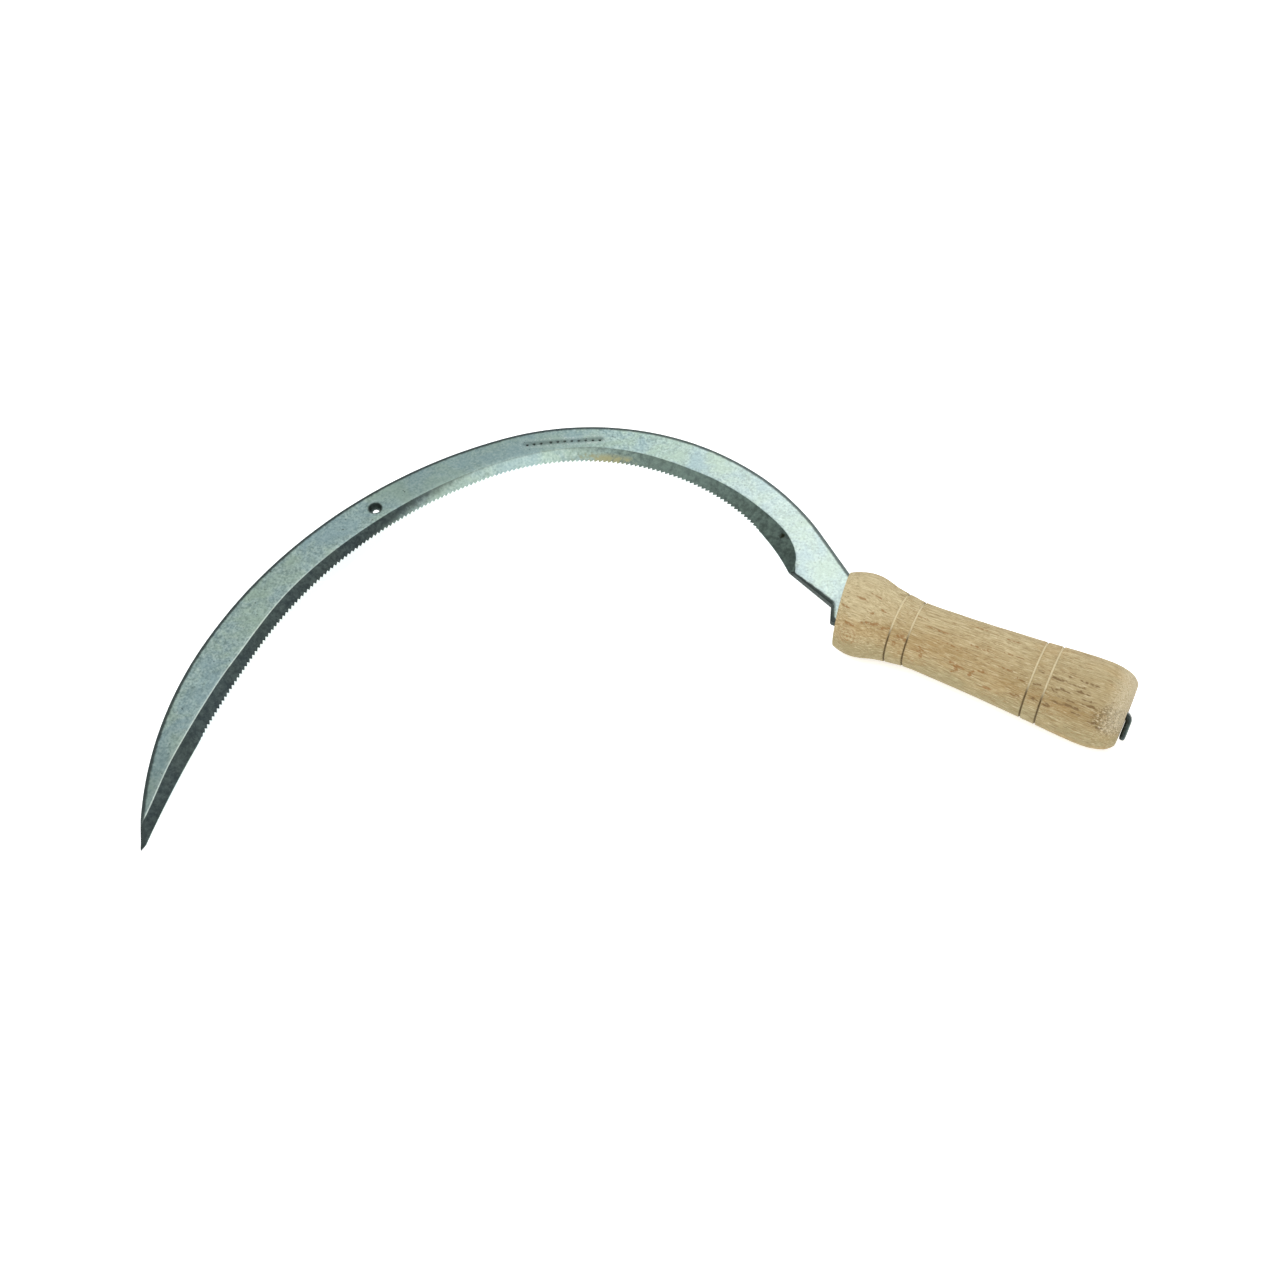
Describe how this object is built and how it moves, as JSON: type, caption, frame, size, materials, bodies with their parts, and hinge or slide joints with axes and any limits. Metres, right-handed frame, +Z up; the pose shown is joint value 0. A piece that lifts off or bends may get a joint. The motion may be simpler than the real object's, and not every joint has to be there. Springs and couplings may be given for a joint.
{
  "type": "hand sickle",
  "caption": "Hand sickle: a crescent steel blade with a saw-toothed inner edge and a hanging hole, its tang driven through a turned wooden handle and clinched over the butt.",
  "frame": {"origin": "middle of the sickle's footprint on the table that it lies on, at table height", "axes": "+X along the handle from the blade towards the butt, +Y from the hook's open side towards the spine above the handle, +Z up, square to the table"},
  "size_m": [0.353, 0.2718, 0.0351],
  "materials": {
    "forged_steel": "plain ground steel, mottled grey-green, darker coarse-ground bevel, bright ridge line",
    "raw_hardwood": "unvarnished pale hardwood, lengthwise grain with brown flecks, turned V grooves"
  },
  "bodies": {
    "root": {"blade": "forged_steel", "handle": "raw_hardwood"}
  },
  "joints": []
}
